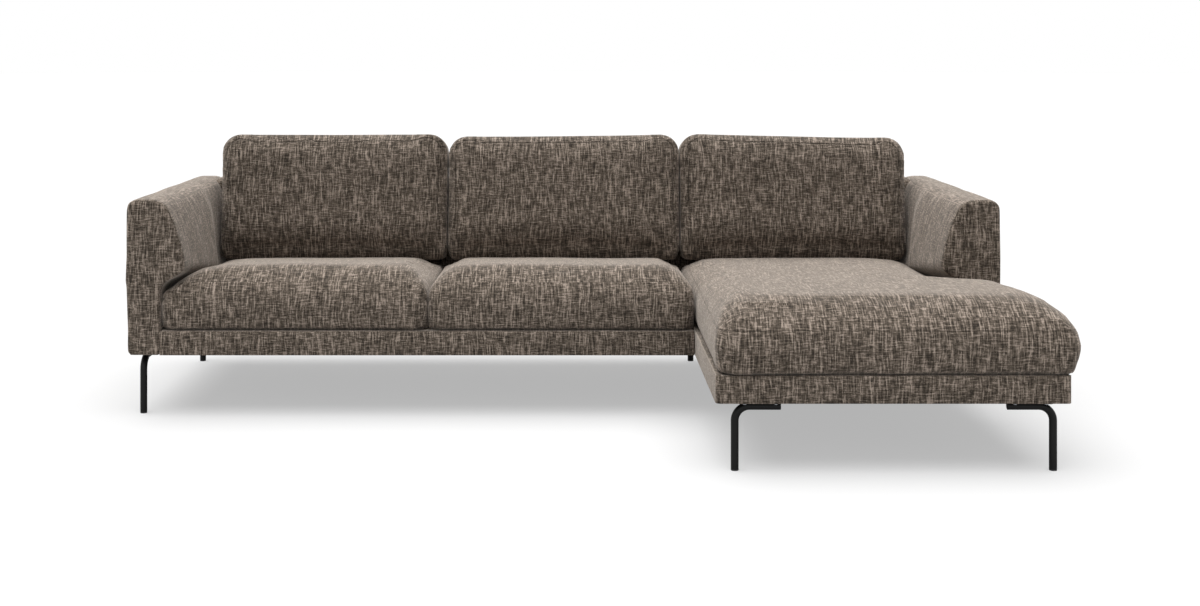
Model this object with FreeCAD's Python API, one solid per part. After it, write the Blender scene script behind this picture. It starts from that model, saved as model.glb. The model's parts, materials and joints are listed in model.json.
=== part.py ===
import FreeCAD, Part
import math
import os

# A sectional sofa in two units that hook together: a two-seat unit with the left arm and a
# chaise unit with the right arm. Millimetres. +X runs to the right as seen from the front,
# +Y to the back and +Z up, with the floor at Z = 0.

os.makedirs("parts", exist_ok=True)
Vector = FreeCAD.Vector
up = Vector(0, 0, 1)

# Plan of the sofa
middle_x = -20          # halfway between the two arms
chaise_front = -773
sofa_front = -125
back_plane = 785
arm_face = 1288         # from middle_x to the side of the seat base that an arm is bolted to
split_x = 400
unit_gap = 2
seat_split_x = -454
chaise_right = 1379
step_y = -126           # back edge of the wide front part of the chaise

# Heights
base_bottom = 197
base_top = 274
arm_top = 693
seat_depth_end = 602    # back edge of the seat bases, front face of the back frames
seat_level = 420        # height at which the inner face of the back starts to lean
back_lean = 8

# Timber, cloth and webbing
skin = 3
rail_thick = 25
rail_bottom = base_bottom + 2
rail_top = base_top - 6
belt_thick = 1.5
belt_width = 70
dust_thick = 1
deck_thick = 2.5
flange = 60
board = 22

# Legs
tube_radius = 11
bend_radius = 41
leg_reach = 128
plate_length = 119
plate_width = 62
plate_thick = 7
glide_height = 4
spigot_length = 14
spigot_width = 18
plate_start = 8
plate_top = base_bottom + 1
weld_gap = 0.5
leg_axis_z = plate_top - plate_thick - weld_gap - tube_radius
screw_width = 5
screw_length = 22
leg_inset = 51

# Cushions
cushion_gap = 2
cushion_bottom = base_top + 0.5
seat_back_end = 598
back_cushion_thick = 158
back_cushion_height = 434.5
back_cushion_foot = (436, 430.5)   # Y and Z of the lower front edge

nodes = {}


def save(name, shape):
    nodes[name] = shape
    shape.exportStep("parts/" + name + ".step")


def box(x0, x1, y0, y1, z0, z1):
    return Part.makeBox(x1 - x0, y1 - y0, z1 - z0, Vector(x0, y0, z0))


def cylinder(radius, start, direction, length):
    return Part.makeCylinder(radius, length, start, direction)


def bar(width, start, direction, length, sides=6):
    """A straight bar with flat sides, of the given width across its corners."""
    corners = []
    for i in range(sides + 1):
        turn = math.radians(360 * i / sides)
        corners.append(Vector(math.cos(turn), math.sin(turn), 0) * (width / 2))
    solid = Part.Face(Part.makePolygon(corners)).extrude(up * length)
    solid.Placement = FreeCAD.Placement(start, FreeCAD.Rotation(up, direction))
    return solid


def hex_bolt(start, direction, shank_width, length, head_width, head_height, shank_sides=6):
    """A bolt whose head bears at the start point; its shank runs on in the given direction."""
    shank = bar(shank_width, start, direction, length, shank_sides)
    head = bar(head_width, start, direction * -1, head_height)
    return shank.fuse(head)


def join(shapes):
    whole = shapes[0]
    if len(shapes) > 1:
        whole = whole.multiFuse(shapes[1:])
    return whole.removeSplitter()


def group(shapes):
    return Part.makeCompound(shapes)


def cut_all(shape, tools):
    for tool in tools:
        shape = shape.cut(tool)
    return shape


def mirrored(shape):
    return shape.mirror(Vector(middle_x, 0, 0), Vector(1, 0, 0))


# Plan outlines: corners anticlockwise, sides along X or Y

def side_directions(corners):
    directions = []
    for i, corner in enumerate(corners):
        after = corners[(i + 1) % len(corners)]
        run = Vector(after[0] - corner[0], after[1] - corner[1], 0)
        directions.append(run.normalize())
    return directions


def inset_plan(corners, distances):
    directions = side_directions(corners)
    moved = []
    for i, corner in enumerate(corners):
        shifted = Vector(corner[0], corner[1], 0)
        for side in (i - 1, i):
            inward = up.cross(directions[side])
            shifted += inward * distances[side]
        moved.append((shifted.x, shifted.y))
    return moved


def rounded_plan(corners, radii):
    """A wire of lines and corner arcs; a corner with no radius stays sharp."""
    directions = side_directions(corners)
    starts, ends, edges = [], [], []
    for i, corner in enumerate(corners):
        point = Vector(corner[0], corner[1], 0)
        starts.append(point - directions[i - 1] * radii[i])
        ends.append(point + directions[i] * radii[i])
    for i, corner in enumerate(corners):
        if radii[i]:
            point = Vector(corner[0], corner[1], 0)
            centre = starts[i] + directions[i] * radii[i]
            middle = centre + (point - centre) * math.sqrt(0.5)
            edges.append(Part.Arc(starts[i], middle, ends[i]).toShape())
        following = (i + 1) % len(corners)
        edges.append(Part.LineSegment(ends[i], starts[following]).toShape())
    return Part.Wire(edges)


def prism(wire, bottom, top):
    face = Part.Face(wire)
    face.translate(Vector(0, 0, bottom))
    return face.extrude(Vector(0, 0, top - bottom))


def plan_prism(corners, bottom, top):
    points = [Vector(x, y, 0) for x, y in corners]
    return prism(Part.makePolygon(points + [points[0]]), bottom, top)


def cut_corners(x0, x1, half_width, chamfer):
    """A rectangle about the X axis with its four corners cut off."""
    return [(x0 + chamfer, -half_width), (x1 - chamfer, -half_width), (x1, chamfer - half_width),
            (x1, half_width - chamfer), (x1 - chamfer, half_width), (x0 + chamfer, half_width),
            (x0, half_width - chamfer), (x0, chamfer - half_width)]


def facet_loft(loops):
    """A ruled loft through closed loops of points, skinned with flat facets."""
    facets = []
    for lower, higher in zip(loops, loops[1:]):
        for i, corner in enumerate(lower):
            following = (i + 1) % len(lower)
            across = higher[following]
            facets.append(Part.Face(Part.makePolygon([corner, lower[following], across, corner])))
            facets.append(Part.Face(Part.makePolygon([corner, across, higher[i], corner])))
    for loop in (loops[0], loops[-1]):
        facets.append(Part.Face(Part.makePolygon(loop + [loop[0]])))
    solid = Part.Solid(Part.Shell(facets))
    if solid.Volume < 0:
        solid.reverse()
    return solid


# Cushions

def cushion_section(corners, insets, radii, hollow, height, tilt=0, pivot_y=0):
    """One level of a cushion: round corners, and sides that are drawn in between them."""
    corner_steps = 4
    side_steps = 4
    smaller = inset_plan(corners, insets)
    directions = side_directions(smaller)
    loop = []
    for i, corner in enumerate(smaller):
        before, after = directions[i - 1], directions[i]
        point = Vector(corner[0], corner[1], height)
        centre = point - before * radii[i] + after * radii[i]
        for k in range(corner_steps + 1):
            turn = math.radians(90 * k / corner_steps)
            loop.append(centre + (before * math.sin(turn) - after * math.cos(turn)) * radii[i])
        following = (i + 1) % len(smaller)
        far = Vector(smaller[following][0], smaller[following][1], height)
        side_start = point + after * radii[i]
        side_end = far - after * radii[following]
        inward = up.cross(after)
        for k in range(1, side_steps):
            share = k / side_steps
            on_side = side_start + (side_end - side_start) * share
            loop.append(on_side + inward * (hollow * 4 * share * (1 - share)))
    lean = FreeCAD.Rotation(Vector(1, 0, 0), -tilt)
    pivot = Vector(0, pivot_y, height)
    return [pivot + lean.multVec(point - pivot) for point in loop]


def seat_cushion(corners, corner_radii, shape):
    """A boxed cushion: its foot is drawn in, its top is an elliptical crown that falls to the back."""
    sections = []
    foot_steps = (1, 0.55, 0)
    for step in foot_steps:
        height = shape["widest"] - step * (shape["widest"] - cushion_bottom)
        insets = [step ** 2 * amount for amount in shape["foot_in"]]
        sections.append(cushion_section(corners, insets, corner_radii, shape["hollow"], height))
    for angle in (20, 40, 60, 78, 90):
        turn = math.radians(angle)
        height = shape["widest"] + shape["rise"] * math.sin(turn)
        insets = [amount * (1 - math.cos(turn)) for amount in shape["crown_in"]]
        radii = [radius + 0.4 * max(insets) for radius in corner_radii]
        tilt = shape["slope"] * math.sin(turn)
        sections.append(cushion_section(corners, insets, radii, shape["hollow"], height, tilt,
                                        shape["pivot_y"]))
    return facet_loft(sections)


def back_cushion(x0, x1):
    """A boxed cushion made lying on its back, then stood up and leant on the back frame."""
    width = x1 - x0
    height = back_cushion_height
    corners = [(0, 0), (width, 0), (width, height), (0, height)]
    corner_radii = [30, 30, 64, 64]
    crown_in = 100
    front_rise = 20
    rear_rise = 12
    hollow = 1.5
    levels = []
    for angle in (90, 55, 20, 0):
        turn = math.radians(angle)
        levels.append((rear_rise * (1 - math.sin(turn)), crown_in * (1 - math.cos(turn))))
    for angle in (0, 20, 40, 65, 90):
        turn = math.radians(angle)
        top = back_cushion_thick - front_rise * (1 - math.sin(turn))
        levels.append((top, crown_in * (1 - math.cos(turn))))
    sections = []
    for level, amount in levels:
        insets = [amount] * 4
        radii = [radius + 0.1 * amount for radius in corner_radii]
        sections.append(cushion_section(corners, insets, radii, hollow, level))
    cushion = facet_loft(sections)
    cushion.translate(Vector(0, 0, -back_cushion_thick))
    cushion.rotate(Vector(0, 0, 0), Vector(1, 0, 0), 90 - back_lean)
    cushion.translate(Vector(x0, back_cushion_foot[0], back_cushion_foot[1]))
    return cushion


# Arms

# The left arm's outline seen from the front, from the inner foot over the belly and the top.
# Each arc runs from one point to the next but one, and (x, z) pairs between lines stand alone.
arm_outline = {
    "inner_foot": (middle_x - arm_face, base_bottom), "tuck": (middle_x - arm_face, 404),
    "tuck_mid": (-1299, 429), "belly_under": (-1279, 445), "belly_under_mid": (-1249, 461),
    "belly": (-1230, 488), "inner_mid": (-1243, 556), "inner_top": (-1267, 634),
    "shoulder_mid": (-1285, 670), "top_in": (-1322, arm_top), "top_out": (-1392, arm_top),
    "corner_mid": (-1409, 686), "outer_top": (-1416, 669), "outer_mid": (-1420, 430),
    "outer_foot": (-1409, base_bottom),
}
arm_lines = ("inner_foot", "top_in", "outer_foot")
belly_squeeze = {"belly_under_mid": 13, "belly": 27, "inner_mid": 20, "inner_top": 6}
arc_points = {"inner_mid": 3, "outer_mid": 4}
squeeze_rows = (375, 435)    # the belly narrows between these depths, beside the back cushion


def arm_section(y, inset, squeeze=1):
    """The arm's outline at one depth, drawn in square to itself, with its foot kept level."""
    names = list(arm_outline)
    points = []
    for name, (x, z) in arm_outline.items():
        points.append(Vector(x - squeeze * belly_squeeze.get(name, 0), y, z))
    moved = {}
    for i, name in enumerate(names):
        before, after = points[i - 1], points[(i + 1) % len(points)]
        tangent = after - before
        if name == "inner_foot":
            tangent = up
        elif name == "outer_foot":
            tangent = up * -1
        elif name == "top_in":
            tangent = Vector(-1, 0, 0.1)
        inward = Vector(-tangent.z, 0, tangent.x)
        moved[name] = points[i] + inward.normalize() * inset
    loop = []
    i = 0
    while i < len(names):
        start = moved[names[i]]
        loop.append(start)
        if names[i] in arm_lines:
            i += 1
        else:
            middle = names[i + 1]
            arc = Part.Arc(start, moved[middle], moved[names[i + 2]]).toShape()
            loop += arc.discretize(Number=arc_points.get(middle, 5))[1:-1]
            i += 2
    return loop


def arm_block(y0, y1, inset, radius, angles):
    """The arm from front to back, with its front and rear edges rounded."""
    sections = []
    for angle in angles:
        turn = math.radians(angle)
        drawn_in = inset + radius * (1 - math.cos(turn))
        sections.append(arm_section(y0 + radius * (1 - math.sin(turn)), drawn_in, 0))
    sections.append(arm_section(squeeze_rows[0], inset, 0))
    sections.append(arm_section(squeeze_rows[1], inset, 1))
    for angle in reversed(angles):
        turn = math.radians(angle)
        drawn_in = inset + radius * (1 - math.cos(turn))
        sections.append(arm_section(y1 - radius * (1 - math.sin(turn)), drawn_in, 1))
    return facet_loft(sections)


arm_core = {"x0": -1404, "x1": middle_x - arm_face - skin, "y0": sofa_front + 20, "y1": back_plane - 20,
            "z0": plate_top, "z1": 640}
bolt_z = 240
bolt_width = 8
bolt_head_width = 15
bolt_head_height = 5.5
arm_bolt_rows = (0, 240, 480)


def arm_frame():
    """A ladder of boards: sole, top board, three posts, a bolting rail and two webbed panels."""
    core = arm_core
    sole = box(core["x0"], core["x1"], core["y0"], core["y1"], core["z0"], core["z0"] + board)
    top = box(core["x0"], core["x1"], core["y0"], core["y1"], core["z1"] - board, core["z1"])
    post_depth = 45
    post_rows = (core["y0"], (core["y0"] + core["y1"] - post_depth) / 2, core["y1"] - post_depth)
    pieces = [sole, top]
    for y in post_rows:
        pieces.append(box(core["x0"], core["x1"], y, y + post_depth, core["z0"], core["z1"]))
    pieces.append(box(core["x1"] - 30, core["x1"], core["y0"], core["y1"], core["z0"], base_top))
    pieces.append(box(core["x0"], core["x0"] + rail_thick, core["y0"], core["y1"], 400, 460))
    return join(pieces)


def arm_parts():
    outer = arm_block(sofa_front, back_plane, 0, 14, (90, 52, 22, 0))
    inner = arm_block(sofa_front + skin, back_plane - skin, skin, 11, (90, 45, 0))
    straight = facet_loft([arm_section(sofa_front, 0), arm_section(back_plane, 0)])
    x_in = arm_core["x1"]
    mouth = box(-1405, x_in, sofa_front + skin, back_plane - skin, base_bottom - 5, base_bottom + 10)
    cover = outer.cut(inner).cut(mouth)
    core = box(arm_core["x0"], arm_core["x1"] + 1, arm_core["y0"], arm_core["y1"], 190, arm_core["z1"])
    below = box(-1430, -1200, sofa_front, back_plane, 190, plate_top + board)
    foam = inner.cut(core).cut(below)
    return cover, foam, arm_frame(), straight


def arm_bolts():
    """Hexagon bolts from inside the left end rail of a seat base into the arm's bolting rail."""
    start_x = middle_x - arm_face + skin + rail_thick
    bolts = []
    for y in arm_bolt_rows:
        bolts.append(hex_bolt(Vector(start_x, y, bolt_z), Vector(-1, 0, 0), bolt_width,
                              2 * skin + rail_thick + 22, bolt_head_width, bolt_head_height))
    return bolts


# Backs

back_core = {"y_low": seat_depth_end + skin, "y_pad": 655, "y1": back_plane - 2 * skin,
             "z_pad": 405, "z1": 655}
back_core_left = -1250   # clear of the arm's belly


def back_outline(inset):
    lean = math.tan(math.radians(back_lean))
    front = seat_depth_end + inset
    rear = back_plane - inset
    top = arm_top - inset
    front_top = front + (top - seat_level) * lean
    soft_front = 26
    soft_rear = 30
    turn = math.sqrt(0.5)
    start = Vector(0, front_top - soft_front * lean, top - soft_front)
    end = Vector(0, front_top + soft_front, top)
    middle = Vector(0, front_top + soft_front * (1 - turn) - 1, top - soft_front * (1 - turn) - 1)
    rear_start = Vector(0, rear - soft_rear, top)
    rear_end = Vector(0, rear, top - soft_rear)
    rear_middle = Vector(0, rear - soft_rear * (1 - turn), top - soft_rear * (1 - turn))
    foot = base_bottom
    edges = [
        Part.LineSegment(Vector(0, rear, foot), Vector(0, front, foot)).toShape(),
        Part.LineSegment(Vector(0, front, foot), Vector(0, front, seat_level)).toShape(),
        Part.LineSegment(Vector(0, front, seat_level), start).toShape(),
        Part.Arc(start, middle, end).toShape(),
        Part.LineSegment(end, rear_start).toShape(),
        Part.Arc(rear_start, rear_middle, rear_end).toShape(),
        Part.LineSegment(rear_end, Vector(0, rear, foot)).toShape(),
    ]
    return Part.Wire(edges)


def along_x(wire, x0, x1):
    face = Part.Face(wire)
    face.translate(Vector(x0, 0, 0))
    return face.extrude(Vector(x1 - x0, 0, 0))


def back_frame(x0, x1, post_count):
    """Sole and top boards, upright boards between them, a bolting rail and the outside board."""
    core = back_core
    z0 = plate_top
    pieces = [
        box(x0, x1, core["y_low"], core["y1"], z0, z0 + board),
        box(x0, x1, core["y_pad"], core["y1"], core["z1"] - board, core["z1"]),
        box(x0, x1, core["y_low"], core["y_low"] + rail_thick, z0, base_top),
        box(x0, x1, core["y1"], core["y1"] + skin, z0, core["z1"]),
    ]
    step = (x1 - x0 - board) / (post_count - 1)
    for i in range(post_count):
        x = x0 + i * step
        pieces.append(box(x, x + board, core["y_pad"], core["y1"], z0, core["z1"]))
    return join(pieces)


def back_webbing(x0, x1):
    y = back_core["y_pad"] - belt_thick
    belts = []
    for z in (425, 505, 585):
        belts.append(box(x0, x1, y, y + belt_thick, z, z + belt_width * 0.8))
    return group(belts)


def back_parts(x0, x1, core_x0, core_x1, arm_solid, post_count):
    outer = along_x(back_outline(0), x0, x1).cut(arm_solid)
    inner = along_x(back_outline(skin), x0 + skin, x1 - skin)
    cover = outer.cut(inner)
    core_low = box(core_x0, core_x1, back_core["y_low"] - 1, back_plane, base_bottom, back_core["z_pad"])
    pad_y = back_core["y_pad"] - belt_thick
    core_high = box(core_x0, core_x1, pad_y, back_plane, back_core["z_pad"] - 1, back_core["z1"])
    below = box(x0, x1, seat_depth_end, back_plane, base_bottom - 1, back_core["z_pad"])
    foam = inner.cut(core_low).cut(core_high).cut(below).cut(arm_solid)
    return cover, foam, back_frame(core_x0, core_x1, post_count), back_webbing(core_x0, core_x1)


def back_bolts(columns):
    start_y = seat_depth_end - skin - rail_thick
    bolts = []
    for x in columns:
        bolts.append(hex_bolt(Vector(x, start_y, bolt_z), Vector(0, 1, 0), bolt_width,
                              2 * (skin + rail_thick) - 4, bolt_head_width, bolt_head_height))
    return bolts


# Seat bases

def within_skirt(corners, radii, bottom, top):
    """The room inside the skirt of a base, between two heights."""
    inner_corners = inset_plan(corners, [skin] * len(corners))
    inner_radii = [max(radius - skin, 0) for radius in radii]
    return prism(rounded_plan(inner_corners, inner_radii), bottom, top)


def plinth_cover(corners, radii):
    """The sewn skirt round a base, turned in over the rails at the top."""
    outer = prism(rounded_plan(corners, radii), base_bottom, base_top)
    inner = within_skirt(corners, radii, base_bottom - 1, base_top - skin)
    window = plan_prism(inset_plan(corners, [flange] * len(corners)), base_bottom, base_top + 1)
    return outer.cut(inner).cut(window)


def sheet(corners, inset, bottom, thick):
    return plan_prism(inset_plan(corners, [inset] * len(corners)), bottom, bottom + thick)


def belts_along_y(first_x, last_x, count, y0, y1):
    belts = []
    for i in range(count):
        x = first_x + (last_x - first_x) * i / (count - 1)
        belts.append(box(x, x + belt_width, y0, y1, rail_top, rail_top + belt_thick))
    return belts


def belts_along_x(first_y, last_y, count, x0, x1):
    belts = []
    for i in range(count):
        y = first_y + (last_y - first_y) * i / max(count - 1, 1)
        belts.append(box(x0, x1, y, y + belt_width, rail_top + belt_thick, rail_top + 2 * belt_thick))
    return belts


# Legs

def weld_bead(side):
    """A fillet of weld along one side of the level tube, under the plate; made along +X."""
    low = side * tube_radius * 0.75
    bead = [Vector(bend_radius + 4, low - side * 2, leg_axis_z + tube_radius * 0.6),
            Vector(bend_radius + 4, low + side * 3, plate_top - plate_thick + 1),
            Vector(bend_radius + 4, low - side * 7, plate_top - plate_thick + 1)]
    face = Part.Face(Part.makePolygon(bead + [bead[0]]))
    return face.extrude(Vector(leg_reach - bend_radius - 12, 0, 0))


def leg(x, y, run):
    """A bent tube, welded under a flat mounting plate by two beads."""
    foot = Vector(x, y, glide_height)
    bend_start = Vector(x, y, leg_axis_z - bend_radius)
    bend_centre = bend_start + run * bend_radius
    upright = cylinder(tube_radius, foot, up, bend_start.z - glide_height)
    rings = []
    for angle in (0, 22.5, 45, 67.5, 90):
        turn = math.radians(angle)
        centre = bend_centre + (up * math.sin(turn) - run * math.cos(turn)) * bend_radius
        heading = up * math.cos(turn) + run * math.sin(turn)
        rings.append(Part.Wire(Part.Circle(centre, heading, tube_radius).toShape()))
    bend = Part.makeLoft(rings, True, True)
    level = cylinder(tube_radius, bend_centre + up * bend_radius, run, leg_reach - bend_radius)
    socket = bar(spigot_width, foot, up, spigot_length, 8)
    plate = plan_prism(cut_corners(plate_start, plate_start + plate_length, plate_width / 2, 6),
                       plate_top - plate_thick, plate_top)
    beads = [weld_bead(-1), weld_bead(1)]
    for shape in [plate] + beads:
        place_along(shape, Vector(x, y, 0), run)
    return join([upright, bend, level]).cut(socket).multiFuse([plate] + beads)


def place_along(shape, origin, run):
    """Turn a shape that was made along +X to the given run, and set it at the origin point."""
    angle = math.degrees(math.atan2(run.y, run.x))
    shape.rotate(Vector(0, 0, 0), up, angle)
    shape.translate(origin)


def leg_screws(x, y, run):
    screws = []
    for along in (26, 112):
        for across in (-20, 20):
            foot = Vector(along, across, plate_top - plate_thick)
            screw = hex_bolt(foot, up, screw_width, screw_length, 11, 3, 4)
            place_along(screw, Vector(x, y, 0), run)
            screws.append(screw)
    return screws


def glide(x, y):
    """A plastic foot whose spigot fills the end of the tube."""
    disc = bar(2 * tube_radius, Vector(x, y, 0), up, glide_height, 12)
    spigot = bar(spigot_width, Vector(x, y, glide_height), up, spigot_length, 8)
    return disc.fuse(spigot)


# Unit connectors: a headed hook on the two-seat unit drops into a slotted plate on the chaise

connector_rows = (60, 420)
connector_half = 45
connector_z = (203, 270)


def plate_seat(x0, x1, y):
    return box(x0, x1, y - connector_half, y + connector_half, connector_z[0], connector_z[1])


def hook_plate(y):
    face_x = split_x - unit_gap / 2
    pieces = [
        plate_seat(face_x - skin, face_x, y),
        box(face_x, face_x + 6, y - 12, y + 12, 213, 230),
        box(face_x + 6, face_x + 11, y - 25, y + 25, 211, 232),
    ]
    return join(pieces)


def slot_plate(y):
    face_x = split_x + unit_gap / 2
    plate = plate_seat(face_x, face_x + skin, y)
    slot = box(face_x - 1, face_x + skin + 1, y - 13.5, y + 13.5, 212, 240)
    window = box(face_x - 1, face_x + skin + 1, y - 28, y + 28, 236, 267)
    return plate.cut(slot).cut(window)


def recess(y):
    face_x = split_x + unit_gap / 2 + skin
    return box(face_x - 0.01, face_x + 13, y - 31, y + 31, 206, 267.5)


def plate_screws(face_x, direction):
    screws = []
    for y in connector_rows:
        for dy in (-38, 38):
            for z in (210, 263):
                start = Vector(face_x, y + dy, z)
                screws.append(bar(4.4, start, direction, 20))
    return screws


# Two-seat unit

seat_left = middle_x - arm_face
seat_right = split_x - unit_gap / 2
two_seat_plan = [(seat_left, sofa_front), (seat_right, sofa_front),
                 (seat_right, seat_depth_end), (seat_left, seat_depth_end)]
front_y = sofa_front + skin
rear_y = seat_depth_end - skin

arm_cover, arm_foam, arm_timber, arm_solid = arm_parts()
left_bolts = arm_bolts()
two_seat_back_bolts = back_bolts((-1150, -350, 250))
hook_screws = plate_screws(seat_right, Vector(-1, 0, 0))
left_leg_x = middle_x - 1354
left_legs = [("front", left_leg_x, sofa_front + 59, Vector(0, 1, 0)),
             ("rear", left_leg_x, back_plane - leg_inset, Vector(0, -1, 0))]
left_screws = []
for place, x, y, run in left_legs:
    left_screws += leg_screws(x, y, run)

x0, x1 = seat_left + skin, seat_right - skin
front_rail = box(x0, x1, front_y, front_y + rail_thick, rail_bottom, rail_top)
rear_rail = box(x0, x1, rear_y - rail_thick, rear_y, rail_bottom, rail_top)
inner_y = (front_y + rail_thick, rear_y - rail_thick)
side_top = rail_top + belt_thick
left_rail = box(x0, x0 + rail_thick, inner_y[0], inner_y[1], rail_bottom, side_top)
right_rail = box(x1 - rail_thick, x1, inner_y[0], inner_y[1], rail_bottom, side_top)
middle_left = seat_split_x - rail_thick / 2
middle_rail = box(middle_left, middle_left + rail_thick, inner_y[0], inner_y[1], rail_bottom, side_top)

two_seat_cover = plinth_cover(two_seat_plan, [0] * 4)
hook_plates = [hook_plate(y) for y in connector_rows]
hook_seats = [plate_seat(seat_right - skin, seat_right + 1, y) for y in connector_rows]

save("two_seat_front_rail", front_rail)
save("two_seat_rear_rail", cut_all(rear_rail, two_seat_back_bolts))
save("two_seat_left_rail", cut_all(left_rail, left_bolts))
save("two_seat_middle_rail", middle_rail)
save("two_seat_right_rail", cut_all(right_rail, hook_screws))
save("two_seat_webbing", group(belts_along_y(x0 + 60, seat_split_x - 100, 5, front_y, rear_y)
                               + belts_along_y(seat_split_x + 30, x1 - 130, 5, front_y, rear_y)
                               + belts_along_x(0, 420, 4, x0, x1)))
save("two_seat_deck_cloth", sheet(two_seat_plan, flange, base_top - skin, deck_thick))
save("two_seat_plinth_cover", cut_all(two_seat_cover, hook_seats + left_bolts + two_seat_back_bolts))
save("two_seat_dust_cover", sheet(two_seat_plan, skin, plate_top, dust_thick))

cover, foam, frame, webbing = back_parts(seat_left, seat_right, back_core_left,
                                         seat_right - 2 * skin, arm_solid, 5)
save("two_seat_back_frame", cut_all(frame, two_seat_back_bolts))
save("two_seat_back_webbing", webbing)
save("two_seat_back_foam", foam)
save("two_seat_back_cover", cut_all(cover, two_seat_back_bolts))

save("left_arm_frame", cut_all(arm_timber, left_bolts + left_screws))
save("left_arm_foam", arm_foam)
save("left_arm_cover", cut_all(arm_cover, left_bolts))
save("two_seat_bolts", group(left_bolts + two_seat_back_bolts))

save("two_seat_legs", group([cut_all(leg(x, y, run), left_screws) for place, x, y, run in left_legs]))
save("two_seat_leg_screws", group(left_screws))
save("two_seat_leg_glides", group([glide(x, y) for place, x, y, run in left_legs]))
save("two_seat_hook_plates", group([cut_all(plate, hook_screws) for plate in hook_plates]))
save("hook_plate_screws", group(hook_screws))

# Chaise unit

right_face = middle_x + arm_face
chaise_left = split_x + unit_gap / 2
chaise_plan = [(chaise_left, chaise_front), (chaise_right, chaise_front), (chaise_right, step_y),
               (right_face, step_y), (right_face, seat_depth_end), (chaise_left, seat_depth_end)]
right_bolts = [mirrored(bolt) for bolt in left_bolts]
chaise_back_bolts = back_bolts((560, 1080))
slot_screws = plate_screws(chaise_left, Vector(1, 0, 0))
chaise_leg_y = chaise_front + leg_inset
rear_leg_y = back_plane - leg_inset
chaise_legs = [("front_left", 459, chaise_leg_y, Vector(1, 0, 0)),
               ("front_right", 1348, chaise_leg_y, Vector(-1, 0, 0)),
               ("rear_left", 459, rear_leg_y, Vector(1, 0, 0)),
               ("rear_right", middle_x + 1354, rear_leg_y, Vector(0, -1, 0))]
chaise_screws = []
for place, x, y, run in chaise_legs:
    chaise_screws += leg_screws(x, y, run)

x0, x1 = chaise_left + skin, chaise_right - skin
front = chaise_front + skin
step = step_y - skin
narrow = right_face - skin
front_rail = box(x0, x1, front, front + rail_thick, rail_bottom, rail_top)
step_rail = box(x0 + rail_thick, x1, step - rail_thick, step, rail_bottom, rail_top)
rear_rail = box(x0, narrow, rear_y - rail_thick, rear_y, rail_bottom, rail_top)
left_rail = box(x0, x0 + rail_thick, front + rail_thick, rear_y - rail_thick, rail_bottom, side_top)
right_front = box(x1 - rail_thick, x1, front + rail_thick, step - rail_thick, rail_bottom, side_top)
right_rear = box(narrow - rail_thick, narrow, step, rear_y - rail_thick, rail_bottom, side_top)
block_depth = 80
block_length = 170
block_y = front + rail_thick
blocks = []
for block_x in (x0 + rail_thick, x1 - rail_thick - block_length):
    blocks.append(box(block_x, block_x + block_length, block_y, block_y + block_depth,
                      rail_bottom, rail_bottom + board))
recesses = [recess(y) for y in connector_rows]
slot_seats = [plate_seat(chaise_left - 1, chaise_left + skin, y) for y in connector_rows]

chaise_radii = [15, 15, 0, 0, 0, 0]
chaise_cover = plinth_cover(chaise_plan, chaise_radii)
save("chaise_front_rail", front_rail.common(within_skirt(chaise_plan, chaise_radii, rail_bottom, rail_top)))
save("chaise_step_rail", step_rail)
save("chaise_rear_rail", cut_all(rear_rail, chaise_back_bolts))
save("chaise_left_rail", cut_all(left_rail, recesses + slot_screws))
save("chaise_right_front_rail", right_front)
save("chaise_right_rear_rail", cut_all(right_rear, right_bolts))
save("chaise_leg_blocks", group([cut_all(block, chaise_screws) for block in blocks]))
save("chaise_webbing", group(belts_along_y(x0 + 55, narrow - 130, 5, front, rear_y)
                             + belts_along_y(narrow - 8, narrow + 10, 2, front, step)[:1]
                             + belts_along_x(front + 90, step - 150, 4, x0, x1)
                             + belts_along_x(step + 110, 440, 4, x0, narrow)))
save("chaise_deck_cloth", sheet(chaise_plan, flange, base_top - skin, deck_thick))
save("chaise_plinth_cover", cut_all(chaise_cover, slot_seats + right_bolts + chaise_back_bolts))
dust_top = plate_top + dust_thick
save("chaise_dust_cover", cut_all(within_skirt(chaise_plan, chaise_radii, plate_top, dust_top), chaise_screws))

cover, foam, frame, webbing = back_parts(chaise_left, right_face, chaise_left + 2 * skin,
                                         2 * middle_x - back_core_left, mirrored(arm_solid), 3)
save("chaise_back_frame", cut_all(frame, chaise_back_bolts + chaise_screws))
save("chaise_back_webbing", webbing)
save("chaise_back_foam", foam)
save("chaise_back_cover", cut_all(cover, chaise_back_bolts))

save("right_arm_frame", cut_all(mirrored(arm_timber), right_bolts + chaise_screws))
save("right_arm_foam", mirrored(arm_foam))
save("right_arm_cover", cut_all(mirrored(arm_cover), right_bolts))
save("chaise_bolts", group(right_bolts + chaise_back_bolts))

save("chaise_legs", group([cut_all(leg(x, y, run), chaise_screws) for place, x, y, run in chaise_legs]))
save("chaise_leg_screws", group(chaise_screws))
save("chaise_leg_glides", group([glide(x, y) for place, x, y, run in chaise_legs]))
save("chaise_slot_plates", group([cut_all(slot_plate(y), slot_screws) for y in connector_rows]))
save("slot_plate_screws", group(slot_screws))

# Loose cushions

half_gap = cushion_gap / 2
seat_shape = {"widest": 352, "rise": 95, "slope": 5.7, "pivot_y": 236, "hollow": 2,
              "foot_in": [10, 10, 10, 10], "crown_in": [140, 120, 140, 120]}


def seat(x0, x1, left_crown, right_crown):
    corners = [(x0, sofa_front - 4), (x1, sofa_front - 4), (x1, seat_back_end), (x0, seat_back_end)]
    shape = dict(seat_shape)
    shape["crown_in"] = [140, right_crown, 140, left_crown]
    return seat_cushion(corners, [20, 20, 20, 20], shape)


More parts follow.
